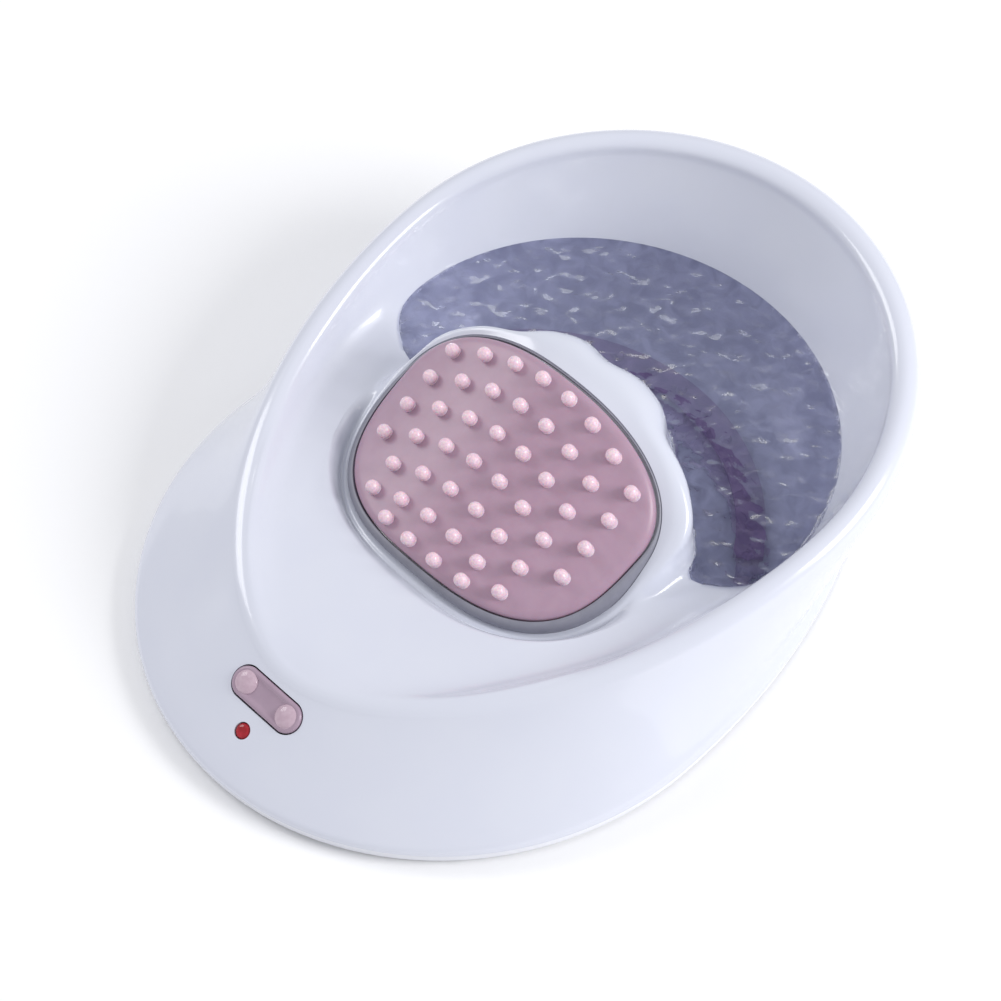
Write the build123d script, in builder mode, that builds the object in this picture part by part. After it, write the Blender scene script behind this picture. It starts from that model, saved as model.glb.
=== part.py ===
from build123d import *
import math
import os

os.makedirs("parts", exist_ok=True)

# A battery hand spa: a bowl for the fingertips, and a tilted massage pad for the palm.
# The frame: +Z up, origin on the floor under the middle of the part, deck and rocker
# towards -Y, bowl towards +Y, and the left half mirrors the right half.

# ---------------------------------------------------------------- driving dimensions (mm)
WALL = 2.4                      # shell wall
SEAM_Z = 4.7                    # lower edge of the upper shell
PAN_TOP = 3.9                   # shoulder of the base pan, under the seal
FLOOR_Z = 10.0                  # wet floor of the bowl

# Plan outlines: half width, middle y, reach to the front, reach to the back.
BASE_EGG = (94.0, -27.5, 99.0, 148.0)
RIM_EGG = (86.4, 36.5, 133.0, 85.0)
WATER_EGG = (72.5, 37.3, 62.2, 62.2)   # the bowl at the water line
BOWL_EGG = (62.0, 40.0, 50.0, 47.0)    # the bowl's floor

DECK_LOW = (-126.5, 6.3)        # side profile of the deck and rim, as y and z
DECK_TOP = (-98.0, 24.1)
RIM_MID = (15.0, 47.5)
RIM_BACK = (126.5, 62.0)
CROWN = 5.0                     # half the width of the rim
PLATFORM_Z = 27.0               # dry shelf in front of and beside the pad
WATER_Z = 28.9

PAD_TILT = 25.8                 # degrees, rising to the back
PAD_Y, PAD_Z = -15.2, 46.0      # middle of the pad's top
PAD_BEND = 111.0                # radius of the pad's sideways crown
PAD_EGG = (48.2, 8.0, 41.8, 27.5)
PAD_ROUND = (2.85, 2.4)         # squareness of the pad's front and back halves
PAD_THICK = 3.0
NUB_PITCH = 10.6
NUB_R = 2.4
NUB_TALL = 4.4
ROW_BOW = 0.0072                # a row bows to the front by this times x squared
NUB_ROWS = (                    # nubs in the row, where it crosses the middle, its bow
    (8, 31.4, ROW_BOW), (8, 21.1, ROW_BOW), (8, 10.6, ROW_BOW), (8, 0.0, ROW_BOW),
    (6, -10.6, ROW_BOW), (6, -20.8, 0.8 * ROW_BOW), (4, -30.0, -0.4 * ROW_BOW),
)
GASKET_REACH = 3.2              # gasket beyond the pad's edge
SEAT_DROP = 4.6                 # shell surface below the pad's top, at the gasket
LEDGE = 5.0                     # how far the shell reaches in under the pad

DECK_TILT = 32.0
ROCKER_Y, ROCKER_Z = -104.1, 20.3
ROCKER_LONG, ROCKER_WIDE = 26.4, 9.4
LAMP_DOWN = 11.4                # lamp, down the deck from the rocker
LAMP_R = 2.5

ROCKER_GAP = 0.45               # all round the rocker in its slot
LAMP_GAP = 0.1
PIN_GAP = 0.05                  # running fits, on the radius
GUIDE_GAP = 0.08
SHAFT_GAP = 0.04


# ---------------------------------------------------------------- small helpers
def mix(a, b, t):
    return a + (b - a) * t


def egg_face(egg, grow, z):
    """Two half ellipses that meet at the widest place, moved out by grow, at a height."""
    half, mid, front, back = egg
    middle = Plane((0, mid, z))
    rear = Edge.make_ellipse(half + grow, back + grow, middle, 0, 180)
    nose = Edge.make_ellipse(half + grow, front + grow, middle, 180, 360)
    return Face(Wire([rear, nose]))


def pad_outline(grow, count=48):
    """Points round the pad, x across and u up the slope, moved out by grow."""
    half, mid, front, back = PAD_EGG
    raw = []
    for i in range(count):
        c, s = math.cos(math.tau * i / count), math.sin(math.tau * i / count)
        reach, power = (front, PAD_ROUND[0]) if s < 0 else (back, PAD_ROUND[1])
        x = math.copysign(abs(c) ** (2 / power), c) * half
        raw.append((x, mid + math.copysign(abs(s) ** (2 / power), s) * reach))
    out = []
    for i, (x, u) in enumerate(raw):
        x0, u0 = raw[i - 1]
        x1, u1 = raw[(i + 1) % count]
        length = math.hypot(x1 - x0, u1 - u0)
        out.append((x + grow * (u1 - u0) / length, u - grow * (x1 - x0) / length))
    return out


# ---------------------------------------------------------------- the pad's own plane
TILT = math.radians(PAD_TILT)
PAD_PLANE = Plane(
    origin=(0, PAD_Y, PAD_Z), x_dir=(1, 0, 0), z_dir=(0, -math.sin(TILT), math.cos(TILT))
)


# ---------------------------------------------------------------- places shared by parts
# On the pad's plane and the deck's plane, "up" is off the surface, so what is inside is below 0.
BOSSES = [(62, -72), (80, 20), (30, 103)]
BOSS_SPOTS = [(side * x, y) for x, y in BOSSES for side in (1, -1)]
BOSS_R = 4.0
BOSS_FOOT = 8.0                 # a boss stands on the pan up to here, then the shell's begins
CASE_SCREW_R = 1.25

CHASSIS_POSTS = [(45.2, 8.0), (-45.2, 8.0), (35.6, -24.0), (-35.6, -24.0), (0.0, 33.0)]
CHASSIS_TOP = -17.5             # top of the fixed plate that the springs stand on
CHASSIS_THICK = 2.5
SPRING_SPOTS = [(27, 14), (-27, 14), (27, -15), (-27, -15)]
GUIDE_SPOTS = [(0, 24), (0, -24)]
MOTOR_UP = -17.9                # the motor's axis runs across the pad
MOTOR_R = 10.0
MOTOR_X = (-16.0, 8.0)

DECK_PLANE = Plane(
    origin=(0, ROCKER_Y, ROCKER_Z), x_dir=(1, 0, 0),
    z_dir=(0, -math.sin(math.radians(DECK_TILT)), math.cos(math.radians(DECK_TILT))),
)
PIN_UP = -4.4
BOARD_UP = -7.8                 # top of the circuit board

CASE_HEAD_R = 3.2
CASE_HEAD_TALL = 1.7
CELL_PITCH = 14.7
DOOR_THICK = 1.6
DOOR_SCREW = (0, -34.0)
FEET = [(60, -85), (-60, -85), (48, 75), (-48, 75)]
FOOT_R = 6.5
CARRIER_THICK = 2.4
SPRING_TOP = -9.6
SPRING_R = 3.2
SPRING_WIRE = 0.8
SPRING_GAP = 1.1                # room for the pad to go down
GUIDE_R = 1.8
POST_R = 2.0
GASKET_TOP = 0.9
SHAFT_R = 1.0
WEIGHT_R = 7.5
SADDLE_U = 14.0
PIN_R = 0.75
PIN_HALF = 6.6
SWITCH_X = 8.5
STRIP_HUB = (0.0, -12.0)
STRIP_FROM = 40.0               # plan angle of the strip's end
STRIP_SIDE_R, STRIP_BACK_R = 72.0, 80.0
STRIP_HALF = 4.5
STRIP_TALL = 1.6
BAY_X = 29.4
BAY_Y = (-91.4, -37.4)
BAY_ROOF = 19.2                 # inside top of the battery bay
CELL_R, CELL_LONG, CELL_Z = 7.1, 49.5, 11.6
PAN_LOW = 1.2
LIP_TALL = 3.8


def pad_prism(grow, low, high):
    """Upright block on the pad's plane inside the pad's outline."""
    outline = pad_outline(grow)
    with BuildPart() as block:
        with BuildSketch(PAD_PLANE.offset(low)):
            with BuildLine():
                Spline(*outline, periodic=True)
            make_face()
        extrude(amount=high - low)
    return block.part


def bend_cylinder(drop):
    """Solid cylinder whose top is the pad's crowned surface, lowered by drop."""
    axis_plane = Plane(
        origin=PAD_PLANE.from_local_coords((0, -80, -PAD_BEND)),
        x_dir=(1, 0, 0), z_dir=(0, math.cos(TILT), math.sin(TILT)),
    )
    with BuildPart() as drum:
        with BuildSketch(axis_plane):
            Circle(PAD_BEND - drop)
        extrude(amount=160)
    return drum.part


# ---------------------------------------------------------------- upper shell
def body_block(inset, lower):
    """The outside of the shell, moved in by inset and down by lower."""
    with BuildPart() as block:
        loft([
            egg_face(BASE_EGG, -inset, SEAM_Z - 2 * lower),
            egg_face(BASE_EGG, -2.0 - inset, SEAM_Z + 8.0),
            egg_face(RIM_EGG, CROWN - 1.2 - inset, 48.0),
            egg_face(RIM_EGG, CROWN - inset, 64.0),
        ])
        with BuildSketch(Plane.YZ) as side:
            with BuildLine():
                Polyline(DECK_LOW, (DECK_LOW[0] - 10, -5), (RIM_BACK[0] + 10, -5))
                Line((RIM_BACK[0] + 10, -5), (RIM_BACK[0] + 10, RIM_BACK[1]))
                Line((RIM_BACK[0] + 10, RIM_BACK[1]), RIM_BACK)
                Spline(RIM_BACK, RIM_MID, DECK_TOP, tangents=[(-1, -0.08), (-1, -0.35)])
                Line(DECK_TOP, DECK_LOW)
            make_face()
        extrude(side.sketch.moved(Location((0, 0, -lower))), amount=110, both=True, mode=Mode.INTERSECT)
    return block.part


def wet_space(grow):
    """The dry shelf and the bowl, as the space above them, grown by a wall."""
    with BuildPart() as space:
        loft([
            egg_face(RIM_EGG, -CROWN - 3.0 + grow, PLATFORM_Z - grow),
            egg_face(RIM_EGG, -CROWN + 4.0 + grow, 75),
        ])
        loft([
            egg_face(BOWL_EGG, grow, FLOOR_Z - grow),
            egg_face(WATER_EGG, grow, WATER_Z + 4),
        ])
    return space.part


def pedestal(inset, lower):
    """The block that carries the pad, standing on the bowl's floor."""
    with BuildPart() as block:
        add(pad_prism(8.0 - inset, -70, 5))
        add(bend_cylinder(SEAT_DROP + lower), mode=Mode.INTERSECT)
        extrude(egg_face(RIM_EGG, 0, FLOOR_Z - 2 - 2 * lower), amount=90, mode=Mode.INTERSECT)
    return block.part


with BuildPart() as hollow:
    add(body_block(WALL, WALL))
    add(wet_space(WALL + 0.8), mode=Mode.SUBTRACT)
    add(pedestal(WALL, WALL))

with BuildPart() as bosses:
    with BuildSketch(Plane.XY.offset(BOSS_FOOT)):
        with Locations(*BOSS_SPOTS):
            Circle(BOSS_R)
    extrude(amount=60)
    add(hollow.part, mode=Mode.INTERSECT)

with BuildPart() as gasket_seat:
    add(pad_prism(GASKET_REACH + 0.3, -25, 15))
    add(bend_cylinder(SEAT_DROP), mode=Mode.SUBTRACT)

with BuildPart() as upper_shell:
    add(body_block(0, 0))
    add(wet_space(0), mode=Mode.SUBTRACT)
    add(pedestal(0, 0))
    add(hollow.part, mode=Mode.SUBTRACT)
    add(bosses.part)
    add(gasket_seat.part, mode=Mode.SUBTRACT)
    add(pad_prism(-LEDGE, -40, 20), mode=Mode.SUBTRACT)
    with BuildSketch(Plane.XY.offset(BOSS_FOOT)):
        with Locations(*BOSS_SPOTS):
            Circle(CASE_SCREW_R)
    extrude(amount=7, mode=Mode.SUBTRACT)
    with BuildSketch(DECK_PLANE.offset(-8)):
        SlotOverall(ROCKER_LONG + 2 * ROCKER_GAP, ROCKER_WIDE + 2 * ROCKER_GAP)
        with Locations((0, -LAMP_DOWN)):
            Circle(LAMP_R + LAMP_GAP)
    extrude(amount=16, mode=Mode.SUBTRACT)
upper_shell.part.label = "upper_shell"
export_step(upper_shell.part, "parts/upper_shell.step")

# ---------------------------------------------------------------- base pan and what closes it
with BuildPart() as base_pan:
    extrude(egg_face(BASE_EGG, -0.8, PAN_LOW), amount=PAN_TOP - PAN_LOW)
    extrude(egg_face(BASE_EGG, -WALL - 2.4, PAN_TOP), amount=LIP_TALL)
    extrude(egg_face(BASE_EGG, -WALL - 3.8, PAN_TOP), amount=LIP_TALL, mode=Mode.SUBTRACT)
    with BuildSketch(Plane.XY.offset(PAN_TOP)):
        with Locations(*BOSS_SPOTS):
            Circle(BOSS_R)
    extrude(amount=BOSS_FOOT - PAN_TOP)
    with BuildSketch(Plane.XY.offset(PAN_TOP)):
        with Locations((0, sum(BAY_Y) / 2)):
            Rectangle(2 * BAY_X + 2.8, BAY_Y[1] - BAY_Y[0] + 2.8)
    extrude(amount=BAY_ROOF + 1.3 - PAN_TOP)
    with BuildSketch(Plane.XY.offset(PAN_LOW)):
        with Locations((0, sum(BAY_Y) / 2)):
            Rectangle(2 * BAY_X, BAY_Y[1] - BAY_Y[0])
    extrude(amount=BAY_ROOF - PAN_LOW, mode=Mode.SUBTRACT)
    with BuildSketch(Plane.XY.offset(PAN_LOW)):
        with Locations(*BOSS_SPOTS):
            Circle(CASE_HEAD_R)
    extrude(amount=CASE_HEAD_TALL, mode=Mode.SUBTRACT)
    with BuildSketch(Plane.XY.offset(PAN_LOW)):
        with Locations(*BOSS_SPOTS):
            Circle(CASE_SCREW_R)
        with Locations(DOOR_SCREW):
            Circle(CASE_SCREW_R)
    extrude(amount=8, mode=Mode.SUBTRACT)
base_pan.part.label = "base_pan"
export_step(base_pan.part, "parts/base_pan.step")

with BuildPart() as shell_seal:
    extrude(egg_face(BASE_EGG, -0.7, PAN_TOP), amount=SEAM_Z - PAN_TOP)
    extrude(egg_face(BASE_EGG, -2.2, PAN_TOP), amount=SEAM_Z - PAN_TOP, mode=Mode.SUBTRACT)
shell_seal.part.label = "shell_seal"
export_step(shell_seal.part, "parts/shell_seal.step")

with BuildPart() as battery_door:
    with BuildSketch(Plane.XY.offset(PAN_LOW + 0.2)):
        with Locations((0, sum(BAY_Y) / 2)):
            Rectangle(2 * BAY_X - 0.6, BAY_Y[1] - BAY_Y[0] - 0.6)
    extrude(amount=DOOR_THICK)
    fillet(battery_door.edges().filter_by(Axis.Z), 2)
battery_door.part.label = "battery_door"
export_step(battery_door.part, "parts/battery_door.step")

with BuildPart() as door_gasket:
    with BuildSketch(Plane.XY.offset(PAN_LOW + 0.2 + DOOR_THICK)):
        with Locations((0, sum(BAY_Y) / 2)):
            RectangleRounded(2 * BAY_X - 1.0, BAY_Y[1] - BAY_Y[0] - 1.0, 2)
            RectangleRounded(2 * BAY_X - 3.4, BAY_Y[1] - BAY_Y[0] - 3.4, 1, mode=Mode.SUBTRACT)
    extrude(amount=0.8)
door_gasket.part.label = "door_gasket"
export_step(door_gasket.part, "parts/door_gasket.step")

with BuildPart() as rubber_feet:
    with BuildSketch():
        with Locations(*FEET):
            Circle(FOOT_R)
    extrude(amount=PAN_LOW)
    chamfer(rubber_feet.edges().group_by(Axis.Z)[0], 0.4)
rubber_feet.part.label = "rubber_feet"
export_step(rubber_feet.part, "parts/rubber_feet.step")

with BuildPart() as case_screws:
    with BuildSketch(Plane.XY.offset(PAN_LOW + 0.2)):
        with Locations(*BOSS_SPOTS):
            Circle(CASE_HEAD_R - 0.2)
    extrude(amount=CASE_HEAD_TALL - 0.2)
    with BuildSketch(Plane.XY.offset(PAN_LOW + 0.2)):
        with Locations(*BOSS_SPOTS):
            Circle(CASE_SCREW_R)
    extrude(amount=13)
case_screws.part.label = "case_screws"
export_step(case_screws.part, "parts/case_screws.step")


# ---------------------------------------------------------------- batteries
for number in range(4):
    x = (number - 1.5) * CELL_PITCH
    turn = 1 if number % 2 else -1
    with BuildPart() as cell:
        with BuildSketch(Plane((x, sum(BAY_Y) / 2, CELL_Z), z_dir=(0, turn, 0))):
            Circle(CELL_R)
        extrude(amount=CELL_LONG / 2, both=True)
        fillet(cell.edges(), 0.6)
        with BuildSketch(Plane((x, sum(BAY_Y) / 2 + turn * CELL_LONG / 2, CELL_Z), z_dir=(0, turn, 0))):
            Circle(2.7)
        extrude(amount=1.0)
    cell.part.label = f"battery_{number + 1}"
    export_step(cell.part, f"parts/battery_{number + 1}.step")

for name, y, way in (("contacts_front", BAY_Y[0], 1), ("contacts_back", BAY_Y[1], -1)):
    with BuildPart() as contacts:
        with BuildSketch(Plane((0, y, CELL_Z), x_dir=(1, 0, 0), z_dir=(0, way, 0))):
            with Locations((-CELL_PITCH, 0), (CELL_PITCH, 0)):
                Rectangle(2 * CELL_PITCH - 2, 11)
        extrude(amount=0.4)
        with BuildSketch(Plane((0, y + way * 0.4, CELL_Z), x_dir=(1, 0, 0), z_dir=(0, way, 0))):
            with Locations(*[((n - 1.5) * CELL_PITCH, 0) for n in range(4)]):
                Circle(3.0)
        extrude(amount=0.6, taper=35)
    contacts.part.label = name
    export_step(contacts.part, f"parts/{name}.step")


# ---------------------------------------------------------------- massage pad
with BuildPart() as nub:
    with BuildSketch(Plane.XY.offset(-1.0)):
        Circle(NUB_R)
    extrude(amount=NUB_TALL + 1.0)
    fillet(nub.edges().sort_by(Axis.Z)[-1], NUB_R - 0.2)

nub_places = []
for count, middle, bow in NUB_ROWS:
    for step in range(count):
        x = (step - (count - 1) / 2) * NUB_PITCH
        u = middle - bow * x * x
        nub_places.append(PAD_PLANE * Location((x, u, -x * x / (2 * PAD_BEND))))

with BuildPart() as massage_nubs:
    with Locations(*nub_places):
        add(nub.part)
    add(bend_cylinder(0), mode=Mode.SUBTRACT)
massage_nubs.part.label = "massage_nubs"
export_step(massage_nubs.part, "parts/massage_nubs.step")

with BuildPart() as massage_pad:
    add(pad_prism(0, -25, 5))
    add(bend_cylinder(0), mode=Mode.INTERSECT)
    add(bend_cylinder(PAD_THICK), mode=Mode.SUBTRACT)
massage_pad.part.label = "massage_pad"
export_step(massage_pad.part, "parts/massage_pad.step")

with BuildPart() as pad_carrier:
    add(pad_prism(-LEDGE - 1.2, -25, 5))
    add(bend_cylinder(PAD_THICK), mode=Mode.INTERSECT)
    add(bend_cylinder(PAD_THICK + CARRIER_THICK), mode=Mode.SUBTRACT)
    with BuildSketch(PAD_PLANE.offset(SPRING_TOP)):
        with Locations(*SPRING_SPOTS):
            Circle(SPRING_R + 1.4)
    extrude(until=Until.NEXT)
    with BuildSketch(PAD_PLANE.offset(CHASSIS_TOP - 5)):
        with Locations(*GUIDE_SPOTS):
            Circle(GUIDE_R)
    extrude(until=Until.NEXT)
pad_carrier.part.label = "pad_carrier"
export_step(pad_carrier.part, "parts/pad_carrier.step")

with BuildPart() as pad_gasket:
    add(pad_prism(GASKET_REACH - 0.2, -25, 5))
    add(pad_prism(0.9, -26, 6), mode=Mode.SUBTRACT)
    add(bend_cylinder(GASKET_TOP), mode=Mode.INTERSECT)
    add(bend_cylinder(SEAT_DROP), mode=Mode.SUBTRACT)
pad_gasket.part.label = "pad_gasket"
export_step(pad_gasket.part, "parts/pad_gasket.step")

with BuildPart() as pad_chassis:
    with BuildSketch(PAD_PLANE.offset(CHASSIS_TOP - CHASSIS_THICK)):
        with BuildLine():
            Spline(*pad_outline(0.0), periodic=True)
        make_face()
        with Locations((0, -53)):
            Rectangle(120, 46, mode=Mode.SUBTRACT)
        Rectangle(52, 34, mode=Mode.SUBTRACT)
        with Locations(*GUIDE_SPOTS):
            Circle(GUIDE_R + GUIDE_GAP, mode=Mode.SUBTRACT)
    extrude(amount=CHASSIS_THICK)
    with BuildSketch(PAD_PLANE.offset(CHASSIS_TOP)):
        with Locations(*SPRING_SPOTS):
            Circle(SPRING_R - 1.0)
    extrude(amount=3)
    with BuildSketch(PAD_PLANE.offset(CHASSIS_TOP)):
        with Locations(*CHASSIS_POSTS):
            Circle(POST_R)
    extrude(amount=30)
    add(bend_cylinder(SEAT_DROP + WALL + 0.05), mode=Mode.INTERSECT)
pad_chassis.part.label = "pad_chassis"
export_step(pad_chassis.part, "parts/pad_chassis.step")

SPRING_TALL = SPRING_TOP - SPRING_GAP - CHASSIS_TOP - SPRING_WIRE
with BuildPart() as pad_springs:
    for x, u in SPRING_SPOTS:
        seat = PAD_PLANE * Location((x, u, CHASSIS_TOP + SPRING_WIRE / 2 + 0.02))
        coil = Edge.make_helix(SPRING_TALL / 3, SPRING_TALL, SPRING_R)
        with BuildPart(mode=Mode.PRIVATE) as spring:
            with BuildSketch(Plane(coil @ 0, z_dir=coil % 0)):
                Circle(SPRING_WIRE / 2)
            sweep(path=Wire([coil]), is_frenet=True)
        add(spring.part.moved(seat))
pad_springs.part.label = "pad_springs"
export_step(pad_springs.part, "parts/pad_springs.step")


# ---------------------------------------------------------------- vibration motor
MOTOR_AXIS = Plane(
    origin=PAD_PLANE.from_local_coords((MOTOR_X[0], 0, MOTOR_UP)),
    x_dir=PAD_PLANE.y_dir, z_dir=(1, 0, 0),
)
MOTOR_LONG = MOTOR_X[1] - MOTOR_X[0]

with BuildPart() as motor_can:
    with BuildSketch(MOTOR_AXIS):
        Circle(MOTOR_R)
    extrude(amount=MOTOR_LONG)
    fillet(motor_can.edges(), 0.8)
    with BuildSketch(MOTOR_AXIS.offset(MOTOR_LONG)):
        Circle(3.0)
    extrude(amount=1.5)
    with BuildSketch(MOTOR_AXIS.offset(MOTOR_LONG - 6)):
        Circle(SHAFT_R + SHAFT_GAP)
    extrude(amount=8, mode=Mode.SUBTRACT)
motor_can.part.label = "motor_can"
export_step(motor_can.part, "parts/motor_can.step")

with BuildPart() as motor_shaft:
    with BuildSketch(MOTOR_AXIS.offset(MOTOR_LONG - 5.5)):
        Circle(SHAFT_R)
    extrude(amount=17)
motor_shaft.part.label = "motor_shaft"
export_step(motor_shaft.part, "parts/motor_shaft.step")

with BuildPart() as eccentric_weight:
    with BuildSketch(MOTOR_AXIS.offset(MOTOR_LONG + 3.5)):
        Circle(WEIGHT_R)
        with Locations((0, WEIGHT_R)):
            Rectangle(3 * WEIGHT_R, 2 * WEIGHT_R - 2.6, mode=Mode.SUBTRACT)
        Circle(2.4)
        Circle(SHAFT_R, mode=Mode.SUBTRACT)
    extrude(amount=7)
eccentric_weight.part.label = "eccentric_weight"
export_step(eccentric_weight.part, "parts/eccentric_weight.step")

with BuildPart() as motor_saddle:
    with BuildSketch(PAD_PLANE.offset(MOTOR_UP)):
        with Locations((sum(MOTOR_X) / 2, 0)):
            Rectangle(MOTOR_LONG - 8, 2 * SADDLE_U)
    extrude(amount=18)
    add(bend_cylinder(PAD_THICK + CARRIER_THICK), mode=Mode.INTERSECT)
    with BuildSketch(MOTOR_AXIS.offset(-2)):
        Circle(MOTOR_R)
    extrude(amount=MOTOR_LONG + 4, mode=Mode.SUBTRACT)
motor_saddle.part.label = "motor_saddle"
export_step(motor_saddle.part, "parts/motor_saddle.step")

with BuildPart() as motor_strap:
    with BuildSketch(MOTOR_AXIS.offset(MOTOR_LONG / 2 - 5)):
        Circle(MOTOR_R + 1.2)
        Rectangle(2 * SADDLE_U, 2.4)
        with Locations((0, 20)):
            Rectangle(60, 40, mode=Mode.SUBTRACT)
        Circle(MOTOR_R, mode=Mode.SUBTRACT)
    extrude(amount=10)
motor_strap.part.label = "motor_strap"
export_step(motor_strap.part, "parts/motor_strap.step")


# ---------------------------------------------------------------- rocker, lamp and board
with BuildPart() as power_rocker:
    with BuildSketch(DECK_PLANE.offset(-3.0)):
        SlotOverall(ROCKER_LONG, ROCKER_WIDE)
    extrude(amount=3.5)
    with BuildSketch(DECK_PLANE.offset(-4.6)):
        Rectangle(20, 2.2)
        Rectangle(5, 5.6)
    extrude(amount=1.8)
    for side in (1, -1):
        with BuildSketch(DECK_PLANE.offset(0.3)):
            with Locations((side * (ROCKER_LONG - ROCKER_WIDE) / 2, 0)):
                Circle(ROCKER_WIDE / 2 - 0.9)
        extrude(amount=1.0, taper=30)
    with BuildSketch(Plane(DECK_PLANE.from_local_coords((0, -6, PIN_UP)), z_dir=DECK_PLANE.y_dir)):
        Circle(PIN_R + PIN_GAP)
    extrude(amount=12, mode=Mode.SUBTRACT)
power_rocker.part.label = "power_rocker"
export_step(power_rocker.part, "parts/power_rocker.step")

with BuildPart() as rocker_pin:
    with BuildSketch(Plane(DECK_PLANE.from_local_coords((0, -PIN_HALF, PIN_UP)), z_dir=DECK_PLANE.y_dir)):
        Circle(PIN_R)
    extrude(amount=2 * PIN_HALF)
rocker_pin.part.label = "rocker_pin"
export_step(rocker_pin.part, "parts/rocker_pin.step")

with BuildPart() as rocker_cradle:
    with BuildSketch(DECK_PLANE.offset(BOARD_UP)):
        with Locations((0, PIN_HALF - 1.2), (0, 1.2 - PIN_HALF)):
            Rectangle(5, 2.2)
    extrude(amount=-3.45 - BOARD_UP)
    with BuildSketch(Plane(DECK_PLANE.from_local_coords((0, -PIN_HALF, PIN_UP)), z_dir=DECK_PLANE.y_dir)):
        Circle(PIN_R)
    extrude(amount=2 * PIN_HALF, mode=Mode.SUBTRACT)
rocker_cradle.part.label = "rocker_cradle"
export_step(rocker_cradle.part, "parts/rocker_cradle.step")

with BuildPart() as circuit_board:
    with BuildSketch(DECK_PLANE.offset(BOARD_UP - 1.2)):
        with Locations((0, -5.25)):
            Rectangle(34, 19.5)
    extrude(amount=1.2)
circuit_board.part.label = "circuit_board"
export_step(circuit_board.part, "parts/circuit_board.step")

for name, x in (("switch_left", -SWITCH_X), ("switch_right", SWITCH_X)):
    with BuildPart() as switch:
        with BuildSketch(DECK_PLANE.offset(BOARD_UP)):
            with Locations((x, 0)):
                Rectangle(4.6, 4.6)
        extrude(amount=1.6)
        with BuildSketch(DECK_PLANE.offset(BOARD_UP + 1.6)):
            with Locations((x, 0)):
                Circle(1.2)
        extrude(amount=0.6)
    switch.part.label = name
    export_step(switch.part, f"parts/{name}.step")

with BuildPart() as indicator_lamp:
    with BuildSketch(DECK_PLANE.offset(-4.0)):
        with Locations((0, -LAMP_DOWN)):
            Circle(LAMP_R)
    extrude(amount=4.2)
    fillet(indicator_lamp.edges().sort_by(Axis.Z)[-1], 1.6)
    with BuildSketch(DECK_PLANE.offset(BOARD_UP)):
        with Locations((-1.27, -LAMP_DOWN), (1.27, -LAMP_DOWN)):
            Rectangle(0.5, 0.5)
    extrude(amount=-BOARD_UP - 4.0)
indicator_lamp.part.label = "indicator_lamp"
export_step(indicator_lamp.part, "parts/indicator_lamp.step")


# ---------------------------------------------------------------- fingertip strip
def strip_edge(reach, count=13):
    """Points of one edge of the crescent on the bowl's floor."""
    points = []
    for i in range(count):
        angle = math.radians(mix(STRIP_FROM, 180 - STRIP_FROM, i / (count - 1)))
        r = mix(STRIP_SIDE_R, STRIP_BACK_R, math.sin(angle) ** 2) + reach
        points.append((STRIP_HUB[0] + r * math.cos(angle), STRIP_HUB[1] + r * math.sin(angle)))
    return points


with BuildPart() as fingertip_strip:
    with BuildSketch(Plane.XY.offset(FLOOR_Z)):
        with BuildLine():
            outer = Spline(*strip_edge(STRIP_HALF))
            inner = Spline(*strip_edge(-STRIP_HALF))
            Line(outer @ 0, inner @ 0)
            Line(outer @ 1, inner @ 1)
        make_face()
    extrude(amount=STRIP_TALL)
    with BuildSketch(Plane.XY.offset(FLOOR_Z + STRIP_TALL)):
        with Locations(*strip_edge(0)):
            Circle(1.8)
    extrude(amount=1.6, taper=20)
fingertip_strip.part.label = "fingertip_strip"
export_step(fingertip_strip.part, "parts/fingertip_strip.step")
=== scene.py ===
import math

import bpy
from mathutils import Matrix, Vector, noise


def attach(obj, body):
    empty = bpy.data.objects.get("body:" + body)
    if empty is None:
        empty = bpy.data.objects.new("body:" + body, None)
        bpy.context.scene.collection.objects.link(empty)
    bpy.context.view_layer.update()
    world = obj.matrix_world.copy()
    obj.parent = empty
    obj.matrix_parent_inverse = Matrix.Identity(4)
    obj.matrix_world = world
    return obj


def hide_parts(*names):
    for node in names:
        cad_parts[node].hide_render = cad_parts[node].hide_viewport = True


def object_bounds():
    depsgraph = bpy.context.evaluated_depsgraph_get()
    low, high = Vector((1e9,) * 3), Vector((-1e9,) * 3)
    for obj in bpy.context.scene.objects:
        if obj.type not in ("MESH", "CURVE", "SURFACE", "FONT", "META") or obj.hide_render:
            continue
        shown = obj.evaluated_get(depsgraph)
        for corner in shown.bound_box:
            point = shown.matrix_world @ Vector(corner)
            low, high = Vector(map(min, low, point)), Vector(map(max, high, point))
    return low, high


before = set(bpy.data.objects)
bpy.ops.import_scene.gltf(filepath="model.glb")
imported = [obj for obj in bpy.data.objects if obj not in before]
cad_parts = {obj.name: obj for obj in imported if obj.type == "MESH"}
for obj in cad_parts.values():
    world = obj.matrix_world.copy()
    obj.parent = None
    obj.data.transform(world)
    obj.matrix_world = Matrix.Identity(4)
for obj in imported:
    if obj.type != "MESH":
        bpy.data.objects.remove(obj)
cad_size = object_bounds()

# A hand spa. One glossy moulding holds a bowl of water for the fingertips and a pedestal with
# a soft pad for the palm, and a rocker and a lamp sit in the deck in front.
# Lengths are in millimetres until a mesh is made. +Z is up and the deck is towards -Y.

# ---------------------------------------------------------------- driving dimensions
HUB = (0.0, -12.0)              # the shell's sections are cut round this point
SEAM_Z = 4.7                    # lower edge of the shell
FLOOR_Z = 10.0                  # wet floor of the bowl
WALL = 2.4
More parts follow.
